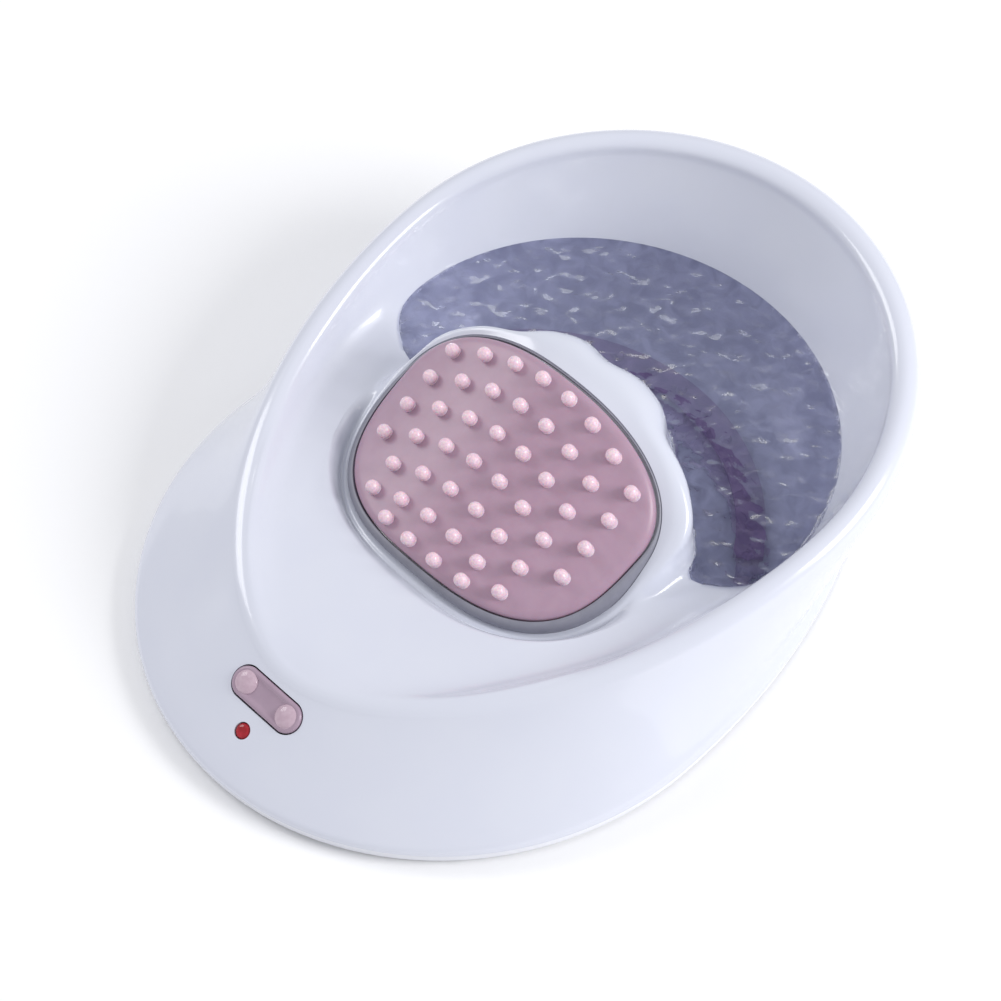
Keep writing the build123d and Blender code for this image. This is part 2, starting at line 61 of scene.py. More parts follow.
# An egg: half width, middle y, reach to the front and back, squareness of those two halves.
BASE_EGG = (94.0, -27.5, 99.0, 148.0, 2.0, 2.0)
RIM_EGG = (86.4, 36.5, 133.0, 85.0, 1.85, 2.0)
RIM_FRONT_Z = 26.0
RIM_RISE = 36.0                 # from the rim's front to its back
CROWN = 5.0                     # half the width of the rounded rim
CROWNED_Y = (-62.0, -2.0)       # the rim is thin before the first y, fully rounded past the second
CHANNEL_Z = 27.0                # dry shelf in front of the pad
CHANNEL_RISE = 2.6              # it is this much higher beside the pad
WATER_Z = 28.9
LOBE_PERIOD = 37.5              # degrees between finger notches
LOBE_DEPTH = 3.4
FLANK = 5.0                     # how much wider the pedestal is on its right
STEP_LEAN = 0.05                # the seat's step down to the ledge leans in by this
FOOT_IN = 0.3                   # the shell's inner face, in from its wall at the seam

# Where the shell changes, in degrees of turn: -90 in front of HUB, 0 at a side, 90 behind.
NOSE = (-25.0, -70.0)           # to the low crest in front
DEEP = (17.0, 41.0)             # from the dry shelf to the bowl's full depth
BEHIND = (28.0, 90.0)           # to the pedestal's long slope behind the pad
LOBES = (6.0, 20.0)             # to full finger notches
FLANK_GROWS, FLANK_FADES = (4.0, 22.0), (90.0, 50.0)

PAD_TILT = math.radians(25.8)
PAD_Y, PAD_Z = -15.2, 46.0      # middle of the pad's top
PAD_BEND = 111.0                # radius of its sideways crown
PAD_EGG = (48.2, 8.0, 41.8, 27.5, 2.85, 2.4)
PAD_THICK = 3.0
PAD_ROUND = 1.5                 # its rounded edge: how tall, and how far in
PAD_ROUND_IN = 2.3
PAD_FLAT_IN = 2.9               # where its flat top starts
NUB_PITCH = 10.6
NUB_R = 2.15
NUB_DOME_FOOT = 2.1             # the nub's sides end and its dome starts at this height
NUB_DOME_TALL = 2.3
ROW_BOW = 0.0072                # a row bows to the front by this times x squared
NUB_ROWS = (                    # nubs in the row, where it crosses the middle, its bow
    (8, 31.4, ROW_BOW), (8, 21.1, ROW_BOW), (8, 10.6, ROW_BOW), (8, 0.0, ROW_BOW),
    (6, -10.6, ROW_BOW), (6, -20.8, 0.8 * ROW_BOW), (4, -30.0, -0.4 * ROW_BOW),
)

GASKET_REACH = 3.2              # the seat's edge beyond the pad's, in front and behind
GASKET_REACH_BACK = 1.6
GASKET_NECK = 0.9               # the gasket's section narrows towards this reach at the back
GASKET_LOW = 0.5                # and keeps this much of its height there
SEAT_DROP = 4.6                 # the seat's edge below the pad's top, in front and behind
SEAT_DROP_BACK = 2.8
TUCK = (-6.0, 24.0)             # where front turns to back, up the pad's slope
LEDGE = 5.0                     # how far the seat reaches in under the pad

DECK_TILT = math.radians(32.0)
ROCKER_Y, ROCKER_Z = -104.1, 20.3
ROCKER_LONG, ROCKER_WIDE = 26.4, 9.4
ROCKER_GAP = 0.45
DOME_R, DOME_TALL, DOME_FOOT = 3.75, 1.4, -0.1
LAMP_DOWN = 11.4                # lamp, down the deck from the rocker
LAMP_R = 2.5
LAMP_GAP = 0.1
CUT_FROM, CUT_TO = -7, 6        # the holes in the deck are cut between these heights off it

SHELL_SECTIONS = 288
SKIN_STEPS = 5                  # points from one profile point to the next
RIM_POINT = 7                   # the profile point on top of the rim
SEAT_SIDES = 240
PAD_SIDES = 160
NUB_SIDES = 24
SLOT_SIDES = 48
ROUND_SIDES = 32


# ---------------------------------------------------------------- lines and outlines
def ease(value, start, end):
    """0 at start and 1 at end, smooth between them. The start may be the higher one."""
    t = min(1.0, max(0.0, (value - start) / (end - start)))
    return t * t * (3 - 2 * t)


def mix(a, b, t):
    return a + (b - a) * t


def plan(angle, r, z=0.0):
    """A place at a plan angle and distance from HUB."""
    return (HUB[0] + r * math.cos(angle), HUB[1] + r * math.sin(angle), z)


def egg_reach(egg, angle):
    """How far an egg's outline is from HUB along a plan angle, by halving."""
    half, mid, front, back, front_n, back_n = egg
    low, high = 0.0, 400.0
    for _ in range(40):
        r = 0.5 * (low + high)
        x, y, _ = plan(angle, r)
        y -= mid
        reach, n = (front, front_n) if y < 0 else (back, back_n)
        if (abs(x) / half) ** n + (abs(y) / reach) ** n < 1:
            low = r
        else:
            high = r
    return low


def ray_reach(polygon, angle):
    """How far a closed polygon is from HUB along a plan angle."""
    dx, dy = math.cos(angle), math.sin(angle)
    tiny = 1e-9
    best = 0.0
    for i, (x1, y1) in enumerate(polygon):
        x0, y0 = polygon[i - 1]
        ax, ay = x0 - HUB[0], y0 - HUB[1]
        ex, ey = x1 - x0, y1 - y0
        cross = dx * ey - dy * ex
        if abs(cross) < tiny:
            continue
        r = (ax * ey - ay * ex) / cross
        t = (ax * dy - ay * dx) / cross
        if r > 0 and -tiny <= t <= 1 + tiny:
            best = max(best, r)
    return best


def through(points, steps):
    """A smooth line through the points: a centripetal Catmull-Rom spline."""
    def pace(a, b):
        return max(1e-6, math.dist(a, b)) ** 0.5

    out = []
    last = len(points) - 1
    for i in range(last):
        a, b = points[max(0, i - 1)], points[i]
        c, d = points[i + 1], points[min(last, i + 2)]
        before, gap, after = pace(a, b), pace(b, c), pace(c, d)
        for k in range(steps):
            t = k / steps
            spot = []
            for p, q, r, s in zip(a, b, c, d):
                leave = arrive = r - q
                if i > 0:
                    leave = gap * ((q - p) / before - (r - p) / (before + gap)) + (r - q)
                if i < last - 1:
                    arrive = gap * ((s - r) / after - (s - q) / (gap + after)) + (r - q)
                here = (2 * t ** 3 - 3 * t * t + 1) * q + (t ** 3 - 2 * t * t + t) * leave
                spot.append(here + (3 * t * t - 2 * t ** 3) * r + (t ** 3 - t * t) * arrive)
            out.append(tuple(spot))
    out.append(points[-1])
    return out


def quarter_turn(steps, first, last):
    """Cosine and sine at some of the even steps of a quarter turn."""
    turns = [k / steps * math.pi / 2 for k in range(first, last + 1)]
    return [(math.cos(a), math.sin(a)) for a in turns]


def round_line(r, x=0.0, u=0.0):
    """Points round a circle."""
    turns = [math.tau * k / ROUND_SIDES for k in range(ROUND_SIDES)]
    return [(x + r * math.cos(a), u + r * math.sin(a)) for a in turns]


def slot_line(grow):
    """Points round a slot the size of the rocker, moved out by grow."""
    r = ROCKER_WIDE / 2
    straight = ROCKER_LONG / 2 - r
    out = []
    for i in range(SLOT_SIDES):
        a = math.tau * (i + 0.5) / SLOT_SIDES
        side = 1 if math.cos(a) > 0 else -1
        out.append((side * straight + (r + grow) * math.cos(a), (r + grow) * math.sin(a)))
    return out


# ---------------------------------------------------------------- places on the pad and the deck
def pad_spot(x, u, up):
    """A place on the pad: x across, u up its slope, up off its crowned top."""
    lift = up - x * x / (2 * PAD_BEND)
    y = PAD_Y + u * math.cos(PAD_TILT) - lift * math.sin(PAD_TILT)
    return (x, y, PAD_Z + u * math.sin(PAD_TILT) + lift * math.cos(PAD_TILT))


def pad_outline(grow, count):
    """Points round the pad, x across and u up its slope, moved out by grow."""
    half, mid, front, back, front_n, back_n = PAD_EGG
    raw = []
    for i in range(count):
        c, s = math.cos(math.tau * i / count), math.sin(math.tau * i / count)
        reach, n = (front, front_n) if s < 0 else (back, back_n)
        x = math.copysign(abs(c) ** (2 / n), c) * half
        raw.append((x, mid + math.copysign(abs(s) ** (2 / n), s) * reach))
    out = []
    for i, (x, u) in enumerate(raw):
        x0, u0 = raw[i - 1]
        x1, u1 = raw[(i + 1) % count]
        length = math.hypot(x1 - x0, u1 - u0)
        out.append((x + grow * (u1 - u0) / length, u - grow * (x1 - x0) / length))
    return out


def tuck(u):
    """0 at the pad's front, 1 at its back, where the shell rises close to the pad."""
    return ease(u, *TUCK)


def seat_drop(u):
    return mix(SEAT_DROP, SEAT_DROP_BACK, tuck(u))


def crowned_z(x, y, drop):
    """Height of the pad's crowned top above a plan place, less a drop square to it."""
    slope = PAD_Z + (y - PAD_Y) * math.tan(PAD_TILT)
    return slope - (x * x / (2 * PAD_BEND) + drop) / math.cos(PAD_TILT)


def ledge_z(angle, r):
    """Height of the ledge under the pad."""
    x, y, _ = plan(angle, r)
    return crowned_z(x, y, SEAT_DROP)


def deck_spot(x, u, up):
    """A place on the deck: x across, u up its slope, up off it."""
    y = ROCKER_Y + u * math.cos(DECK_TILT) - up * math.sin(DECK_TILT)
    return (x, y, ROCKER_Z + u * math.sin(DECK_TILT) + up * math.cos(DECK_TILT))


def deck_ring(outline, up):
    return [deck_spot(x, u, up) for x, u in outline]


# ---------------------------------------------------------------- meshes
def link_mesh(name, verts, faces):
    """A mesh object from points in mm."""
    mesh = bpy.data.meshes.new(name)
    mesh.from_pydata([tuple(v / 1000 for v in p) for p in verts], [], faces)
    mesh.validate()
    obj = bpy.data.objects.new(name, mesh)
    bpy.context.collection.objects.link(obj)
    return obj


def make_mesh(name, rings, closed=True, cap=False, loop=False):
    """A quad mesh from rings of points. loop joins the last ring to the first."""
    count = len(rings[0])
    faces = []
    pairs = len(rings) if loop else len(rings) - 1
    for r in range(pairs):
        low, high = r * count, ((r + 1) % len(rings)) * count
        for i in range(count if closed else count - 1):
            j = (i + 1) % count
            faces.append((low + i, low + j, high + j, high + i))
    if cap:
        faces.append(tuple(range(count))[::-1])
        faces.append(tuple(range((len(rings) - 1) * count, len(rings) * count)))
    return link_mesh(name, [p for ring in rings for p in ring], faces)


def tidy_normals(obj, degrees=40):
    """Turns every face outwards and shades it smooth up to an angle."""
    bpy.ops.object.select_all(action="DESELECT")
    obj.select_set(True)
    bpy.context.view_layer.objects.active = obj
    bpy.ops.object.mode_set(mode="EDIT")
    bpy.ops.mesh.select_all(action="SELECT")
    bpy.ops.mesh.normals_make_consistent(inside=False)
    bpy.ops.object.mode_set(mode="OBJECT")
    obj.data.polygons.foreach_set("use_smooth", [True] * len(obj.data.polygons))
    obj.data.set_sharp_from_angle(angle=math.radians(degrees))


def cut_deck(obj, outline):
    """Cuts a hole of an outline square through the deck."""
    cutter = make_mesh("cutter", [deck_ring(outline, up) for up in (CUT_FROM, CUT_TO)], cap=True)
    tidy_normals(cutter)
    tool = obj.modifiers.new("cut", "BOOLEAN")
    tool.object = cutter
    tool.operation = "DIFFERENCE"
    tool.solver = "EXACT"
    bpy.context.view_layer.objects.active = obj
    bpy.ops.object.modifier_apply(modifier=tool.name)
    bpy.data.objects.remove(cutter)


# ---------------------------------------------------------------- upper shell
seat_line = []
seat_front = pad_outline(GASKET_REACH, SEAT_SIDES)
seat_back = pad_outline(GASKET_REACH_BACK, SEAT_SIDES)
for (x, u), (x_in, u_in) in zip(seat_front, seat_back):
    x, u = mix(x, x_in, tuck(u)), mix(u, u_in, tuck(u))
    seat_line.append(pad_spot(x, u, -seat_drop(u))[:2])
hole_line = [pad_spot(x, u, -SEAT_DROP)[:2] for x, u in pad_outline(-LEDGE, SEAT_SIDES)]


def shell_profile(angle):
    """(distance from HUB, z) from the base's edge up over the rim and in to the pad.

    Its numbers are the section's own shape: lengths in mm, and shares of a span."""
    turn = math.degrees(math.asin(math.sin(angle)))
    base = egg_reach(BASE_EGG, angle)
    rim = egg_reach(RIM_EGG, angle)
    seat = ray_reach(seat_line, angle)
    rim_y = plan(angle, rim)[1]
    front_y = RIM_EGG[1] - RIM_EGG[2]
    rise = (max(0.0, rim_y - front_y) / (RIM_EGG[2] + RIM_EGG[3])) ** 0.8
    rim_z = RIM_FRONT_Z + RIM_RISE * rise

    nose, deep, behind = ease(turn, *NOSE), ease(turn, *DEEP), ease(turn, *BEHIND)
    dry = 1.0 - deep
    crown = ease(rim_y, *CROWNED_Y)
    back = max(0.0, math.sin(angle)) ** 1.5
    right_side = math.cos(angle) > 0
    flank = FLANK * ease(turn, *FLANK_GROWS) * ease(turn, *FLANK_FADES) * right_side

    floor = mix(CHANNEL_Z + CHANNEL_RISE * math.cos(angle) ** 2, FLOOR_Z, deep)
    depth = 0.5 * (rim_z - floor + 10.0 + math.hypot(rim_z - floor - 10.0, 4.0))    # at least 10
    notch = 0.5 + 0.5 * math.cos(math.radians((turn - 90.0) * 360.0 / LOBE_PERIOD))
    lobe = LOBE_DEPTH * (0.4 - notch ** 1.6) * ease(turn, *LOBES)

    low_r, low_z = base - 2, SEAM_Z + mix(4.6, 2.9, nose)
    shoulder_r = rim + mix(mix(4.0, 2.4, nose), CROWN, crown)
    shoulder_z = rim_z - mix(mix(2.9, 2.5, nose), CROWN, crown)
    outside = [(base, SEAM_Z), (base - 0.3, SEAM_Z + mix(2.4, 1.4, nose))]
    for along, up in ((0.03, 0.03), (0.36, mix(0.31, 0.36, nose)), (0.72, mix(0.66, 0.72, nose))):
        outside.append((mix(low_r, shoulder_r, along), mix(low_z, shoulder_z, up)))

    over = [
        (shoulder_r, shoulder_z),
        (rim + mix(mix(2.4, 1.4, nose), 3.5, crown), rim_z - mix(mix(1.6, 1.7, nose), 1.45, crown)),
        (rim, rim_z - mix(mix(0.5, 0.8, nose), 0, crown)),
        (rim - mix(1.6, 3.5, crown), rim_z - mix(0.2, 1.45, crown)),
        (rim - mix(3.2, CROWN, crown), rim_z - mix(0.0, CROWN, crown)),
    ]

    lean = mix(0.62, 1.0, back)
    inner_z = rim_z - CROWN * crown
    wall = [
        (rim - CROWN - 0.25 * lean * depth, mix(floor, inner_z, 0.52)),
        (rim - 6.0 - 0.40 * lean * depth - 2.0 * dry, mix(floor, inner_z, 0.15)),
        (rim - 9.0 - 0.50 * lean * depth - 6.5 * dry, floor),
    ]

    seat_x, seat_y, _ = plan(angle, seat)
    seat_z = crowned_z(seat_x, seat_y, seat_drop((seat_y - PAD_Y) / math.cos(PAD_TILT)))
    brow_r = seat + 2.6 + 14.0 * behind + flank
    brow_z = seat_z - mix(0.6, 2.2, deep) - 3.0 * behind
    foot_r = seat + 6.5 + 27.0 * behind + flank
    pedestal = [
        (foot_r, floor),
        (mix(brow_r, foot_r, 0.66) + lobe, mix(brow_z, floor, 0.82)),
        (mix(brow_r, foot_r, 0.30) + lobe, mix(brow_z, floor, 0.38)),
        (brow_r + 0.8 * lobe, brow_z),
        (mix(seat, brow_r, 0.55) + 0.35 * lobe, seat_z + 1.0 * back),
        (seat, seat_z),
    ]
    return outside + over + wall + pedestal


def shell_section(angle):
    """The shell's closed section: its skin, the ledge under the pad, and back underneath."""
    skin = shell_profile(angle)
    seat_r, seat_z = skin[-1]
    hole_r = ray_reach(hole_line, angle)
    seat_low, hole_z = ledge_z(angle, seat_r), ledge_z(angle, hole_r)
    ledge = [
        (seat_r - STEP_LEAN, min(seat_z, seat_low)),
        (mix(seat_r, hole_r, 0.5), mix(seat_low, hole_z, 0.5)),
        (hole_r, hole_z),
        (hole_r, hole_z - WALL),
        (mix(hole_r, seat_r, 0.9), mix(hole_z, seat_low, 0.9) - WALL),
    ]
    under = []
    for i in range(len(skin) - 2, 1, -1):
        (r0, z0), (r1, z1) = skin[i - 1], skin[i + 1]
        long = math.hypot(r1 - r0, z1 - z0)
        under.append((skin[i][0] + WALL * (z0 - z1) / long, skin[i][1] + WALL * (r1 - r0) / long))
    under.append((skin[0][0] - WALL - FOOT_IN, SEAM_Z))
    return [plan(angle, r, z) for r, z in through(skin, SKIN_STEPS) + ledge + under]


sections = [shell_section(math.tau * i / SHELL_SECTIONS) for i in range(SHELL_SECTIONS)]
shell = make_mesh("shell_moulding", list(zip(*sections)), loop=True)
tidy_normals(shell, 50)
cut_deck(shell, slot_line(ROCKER_GAP))
cut_deck(shell, round_line(LAMP_R + LAMP_GAP, u=-LAMP_DOWN))
tidy_normals(shell, 50)
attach(shell, "case")
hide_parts("upper_shell")


# ---------------------------------------------------------------- massage pad
def pad_ring(grow, up):
    return [pad_spot(x, u, up) for x, u in pad_outline(grow, PAD_SIDES)]


def flat_ring(scale, up):
    """The outline of the pad's flat top, shrunk towards its middle."""
    mid = PAD_EGG[1]
    outline = pad_outline(-PAD_FLAT_IN, PAD_SIDES)
    return [pad_spot(x * scale, mid + (u - mid) * scale, up) for x, u in outline]


pad_rings = [flat_ring(scale, -PAD_THICK) for scale in (0.06, 0.5, 1.0)]
pad_rings += [pad_ring(0, -PAD_THICK), pad_ring(0, -PAD_ROUND)]
for c, s in quarter_turn(5, 1, 5):
    pad_rings.append(pad_ring(-PAD_ROUND_IN * (1 - c), -PAD_ROUND * (1 - s)))
pad_rings += [flat_ring(scale, 0.0) for scale in (1.0, 0.8, 0.6, 0.4, 0.2, 0.06)]
pad = make_mesh("pad_plate", pad_rings, cap=True)
tidy_normals(pad)
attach(pad, "massage_plate")
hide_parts("massage_pad")

# ---------------------------------------------------------------- gasket round the pad
GASKET_SECTION = (              # reach beyond the pad's edge, height off its top
    (0.4, -4.6), (0.4, -1.4), (0.55, -1.0), (0.9, -0.9), (1.9, -1.1),
    (2.7, -1.9), (3.0, -3.0), (3.0, -4.6),
)
narrowing = (GASKET_REACH_BACK - GASKET_NECK) / (GASKET_REACH - GASKET_NECK)
gasket_rings = []
for reach, up in GASKET_SECTION:
    ring = []
    front = pad_outline(reach, PAD_SIDES)
    back = pad_outline(mix(GASKET_NECK, reach, narrowing), PAD_SIDES)
    for (x, u), (x_in, u_in) in zip(front, back):
        t = tuck(u)
        low = mix(up, -SEAT_DROP + (SEAT_DROP + up) * GASKET_LOW, t)
        ring.append(pad_spot(mix(x, x_in, t), mix(u, u_in, t), low))
    gasket_rings.append(ring)
gasket = make_mesh("pad_gasket_ring", gasket_rings, loop=True)
tidy_normals(gasket)
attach(gasket, "case")
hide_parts("pad_gasket")

# ---------------------------------------------------------------- nubs
NUB_WAIST = (                   # how far in from NUB_R, and height off the pad
    (0.0, -0.3), (0.0, 0.0), (0.02, 0.3), (0.06, 0.9), (0.02, 1.6), (0.0, NUB_DOME_FOOT),
)
NUB_UPRIGHT = 1                 # above this height a nub's rings don't follow the pad's crown
nub_section = [(NUB_R - inset, up) for inset, up in NUB_WAIST]
for c, s in quarter_turn(8, 1, 7):
    nub_section.append((NUB_R * c, NUB_DOME_FOOT + NUB_DOME_TALL * s))
nub_verts = []
nub_faces = []


def add_nub(x0, u0):
    """One nub's points and faces, with a closed root inside the pad."""
    start = len(nub_verts)
    for r, up in nub_section:
        for k in range(NUB_SIDES):
            a = math.tau * k / NUB_SIDES
            x, u = x0 + r * math.cos(a), u0 + r * math.sin(a)
            level = (x * x - x0 * x0) / (2 * PAD_BEND) if up > NUB_UPRIGHT else 0.0
            nub_verts.append(pad_spot(x, u, up + level))
    tip = len(nub_verts)
    nub_verts.append(pad_spot(x0, u0, NUB_DOME_FOOT + NUB_DOME_TALL))
    last = tip - NUB_SIDES
    for low in range(start, last, NUB_SIDES):
        high = low + NUB_SIDES
        for k in range(NUB_SIDES):
            j = (k + 1) % NUB_SIDES
            nub_faces.append((low + k, low + j, high + j, high + k))
    for k in range(NUB_SIDES):
        nub_faces.append((last + k, last + (k + 1) % NUB_SIDES, tip))
    nub_faces.append(tuple(range(start, start + NUB_SIDES))[::-1])


for count, middle, bow in NUB_ROWS:
    for step in range(count):
        across = (step - (count - 1) / 2) * NUB_PITCH
        add_nub(across, middle - bow * across * across)
nubs = link_mesh("pad_nubs", nub_verts, nub_faces)
tidy_normals(nubs, 60)
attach(nubs, "massage_plate")
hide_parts("massage_nubs")

# ---------------------------------------------------------------- rocker, its domes and the lamp
ROCKER_SIDE = ((-0.2, -3.0), (0, -2.6), (0, -0.3))      # growth of the slot line, height
ROCKER_LIP = (0.8, -0.3)                                # radius of its edge, height it starts at
ROCKER_DISH = ((-1.2, 0.5), (-1.7, 0.3), (-2.0, 0.0), (-2.3, -0.1))
rocker_rings = [deck_ring(slot_line(grow), up) for grow, up in ROCKER_SIDE]
lip_r, lip_foot = ROCKER_LIP
for c, s in quarter_turn(4, 1, 4):
    rocker_rings.append(deck_ring(slot_line(-lip_r * (1 - c)), lip_foot + lip_r * s))
rocker_rings += [deck_ring(slot_line(grow), up) for grow, up in ROCKER_DISH]
dish_grow, dish_up = ROCKER_DISH[-1]
for scale in (0.7, 0.4, 0.1):
    outline = [(x * scale, u * scale) for x, u in slot_line(dish_grow)]
    rocker_rings.append(deck_ring(outline, dish_up))
rocker = make_mesh("rocker_cap", rocker_rings, cap=True)
tidy_normals(rocker)
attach(rocker, "rocker")
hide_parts("power_rocker")

domes = []
dome_x = (ROCKER_LONG - ROCKER_WIDE) / 2
for name, side in (("rocker_dome_left", -1), ("rocker_dome_right", 1)):
    dome_rings = []
    for c, s in quarter_turn(8, 0, 7):
        dome_rings.append(deck_ring(round_line(DOME_R * c, x=side * dome_x), DOME_FOOT + DOME_TALL * s))
    dome = make_mesh(name, dome_rings, cap=True)
    tidy_normals(dome)
    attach(dome, "rocker")
    domes.append(dome)

LAMP_SECTION = (                # radius, height off the deck
    (LAMP_R, -4.0), (LAMP_R, -1.2), (2.4, -0.7), (2.1, -0.2), (1.6, 0.05), (0.9, 0.17), (0.2, 0.2),
)
lamp_rings = [deck_ring(round_line(r, u=-LAMP_DOWN), up) for r, up in LAMP_SECTION]
lamp = make_mesh("lamp_lens", lamp_rings, cap=True)
tidy_normals(lamp)
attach(lamp, "case")
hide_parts("indicator_lamp")

# ---------------------------------------------------------------- water
WATER_RINGS = 90
WET_STEPS = 4                   # sections in a degree
WET_LEAST = 0.5                 # a section with less water than this across is dry
WATER_INTO_WALL = 0.4           # the sheet runs this far into the walls
MENISCUS = 0.9                  # how far it climbs them, over how many rings
MENISCUS_RINGS = 4
RIPPLE = 0.25
LONG_WAVE_X, LONG_WAVE_Y = 6.0, 4.4
SHORT_WAVE = 2.6
SHORT_SLICE = 9.0               # a slice of the noise that the long waves don't use


def wet_edges(angle, level):
    """Where the water meets the pedestal and the wall, from HUB, or None where it is dry."""
    line = through(shell_profile(angle), SKIN_STEPS)[RIM_POINT * SKIN_STEPS:]
    hits = []
    for (r0, z0), (r1, z1) in zip(line, line[1:]):
        if (z0 - level) * (z1 - level) < 0:
            hits.append(mix(r0, r1, (level - z0) / (z1 - z0)))
    return (min(hits), max(hits)) if len(hits) >= 2 else None


def waves(x, y):
    long = noise.noise(Vector((x / LONG_WAVE_X, y / LONG_WAVE_Y, 0.0)))
    return long + 0.5 * noise.noise(Vector((x / SHORT_WAVE, y / SHORT_WAVE, SHORT_SLICE)))


wet = []
for i in range(180 * WET_STEPS + 1):
    angle = math.radians(i / WET_STEPS)
    edges = wet_edges(angle, WATER_Z)
    if edges and edges[1] - edges[0] > WET_LEAST:
        wet.append((angle, edges[0] - WATER_INTO_WALL, edges[1] + WATER_INTO_WALL))
water_rings = []
for k in range(WATER_RINGS + 1):
    edge = max(0.0, 1.0 - min(k, WATER_RINGS - k) / MENISCUS_RINGS)
    ring = []
    for angle, inner, outer in wet:
        x, y, z = plan(angle, mix(inner, outer, k / WATER_RINGS), WATER_Z + MENISCUS * edge ** 2)
        ring.append((x, y, z + RIPPLE * waves(x, y) * (1.0 - edge)))
    water_rings.append(ring)
water = make_mesh("water", water_rings, closed=False)
tidy_normals(water)
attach(water, "case")


# ---------------------------------------------------------------- material building
def new_material(name, color, rough, **extra):
    mat = bpy.data.materials.new(name)
    mat.use_nodes = True
    shader = mat.node_tree.nodes["Principled BSDF"]
    shader.inputs["Base Color"].default_value = (*color, 1)
    shader.inputs["Roughness"].default_value = rough
    for socket, value in extra.items():
        shader.inputs[socket.replace("_", " ")].default_value = value
    return mat


def texture(mat, kind, **inputs):
    """A texture node on the object's own coordinates."""
    nodes, links = mat.node_tree.nodes, mat.node_tree.links
    node = nodes.new(kind)
    for socket, value in inputs.items():
        node.inputs[socket].default_value = value
    links.new(nodes.new("ShaderNodeTexCoord").outputs["Object"], node.inputs["Vector"])
    return node


def shade_between(mat, grain, low, high, low_at, high_at):
    """The colour output of a ramp over a noise texture."""
    ramp = mat.node_tree.nodes.new("ShaderNodeValToRGB")
    for stop, color, at in zip(ramp.color_ramp.elements, (low, high), (low_at, high_at)):
        stop.position = at
        stop.color = (*color, 1)
    mat.node_tree.links.new(grain.outputs["Fac"], ramp.inputs["Fac"])
    return ramp.outputs["Color"]


def bump(mat, height, strength, distance):
    nodes, links = mat.node_tree.nodes, mat.node_tree.links
    lift = nodes.new("ShaderNodeBump")
    lift.inputs["Strength"].default_value = strength
    lift.inputs["Distance"].default_value = distance
    links.new(height, lift.inputs["Height"])
    links.new(lift.outputs["Normal"], nodes["Principled BSDF"].inputs["Normal"])


def speckled(name, color, spread, scale, rough, **extra):
    """A material whose colour varies finely, by spread to each side."""
    mat = new_material(name, color, rough, **extra)
    low = [c - s for c, s in zip(color, spread)]
    high = [c + s for c, s in zip(color, spread)]
    grain = texture(mat, "ShaderNodeTexNoise", Scale=scale, Detail=3)
    shade = shade_between(mat, grain, low, high, 0.35, 0.65)
    mat.node_tree.links.new(shade, mat.node_tree.nodes["Principled BSDF"].inputs["Base Color"])
    return mat


def pebbled(mat, scale, strength):
    """Adds a very fine moulded grain to a surface."""
    grain = texture(mat, "ShaderNodeTexNoise", Scale=scale, Detail=4)
    bump(mat, grain.outputs["Fac"], strength, 0.0001)


def paint(obj, mat):
    obj.data.materials.clear()
    obj.data.materials.append(mat)


# ---------------------------------------------------------------- plastics, rubber and metal
gloss_white = speckled(
    "gloss_white", (0.69, 0.71, 0.80), (0.005, 0.005, 0.002), 60, 0.2, Coat_Weight=0.5, Coat_Roughness=0.06)
pebbled(gloss_white, 900, 0.02)
pan_white = speckled("pan_white", (0.82, 0.83, 0.88), (0.01, 0.01, 0.005), 60, 0.35)
pad_pink = speckled(
    "pad_pink", (0.44, 0.29, 0.38), (0.01, 0.01, 0.01), 220, 0.36,
    Subsurface_Weight=0.15, Subsurface_Scale=0.002)
pebbled(pad_pink, 1500, 0.05)
nub_pink = speckled(
    "nub_pink", (0.82, 0.625, 0.71), (0.06, 0.075, 0.05), 1600, 0.16,
    Subsurface_Weight=0.3, Subsurface_Scale=0.002)
gasket_gray = speckled("gasket_gray", (0.24, 0.24, 0.29), (0.01, 0.01, 0.01), 300, 0.4)
seal_gray = speckled("seal_gray", (0.60, 0.61, 0.67), (0.01, 0.01, 0.01), 300, 0.5)
rocker_pink = speckled("rocker_pink", (0.40, 0.29, 0.37), (0.01, 0.01, 0.01), 260, 0.28)
dome_pink = speckled(
    "dome_pink", (0.66, 0.49, 0.58), (0.03, 0.03, 0.03), 700, 0.12, Transmission_Weight=0.15, IOR=1.45)
lamp_red = speckled(
    "lamp_red", (0.43, 0.0105, 0.021), (0.09, 0.0045, 0.009), 500, 0.1, Transmission_Weight=0.1, IOR=1.5)
strip_purple = speckled("strip_purple", (0.34, 0.24, 0.40), (0.02, 0.02, 0.02), 300, 0.5)
inner_plastic = speckled("inner_plastic", (0.62, 0.62, 0.60), (0.02, 0.02, 0.02), 200, 0.5)
board_green = speckled("board_green", (0.0225, 0.165, 0.055), (0.0075, 0.035, 0.015), 900, 0.4)
switch_black = speckled("switch_black", (0.03, 0.03, 0.03), (0.005, 0.005, 0.005), 400, 0.4)
steel = speckled("steel", (0.60, 0.60, 0.61), (0.04, 0.04, 0.04), 500, 0.28, Metallic=1.0)
brass = speckled("brass", (0.62, 0.45, 0.20), (0.06, 0.05, 0.03), 700, 0.35, Metallic=1.0)
cell_wrap = speckled("cell_wrap", (0.04, 0.045, 0.055), (0.005, 0.005, 0.005), 300, 0.3)

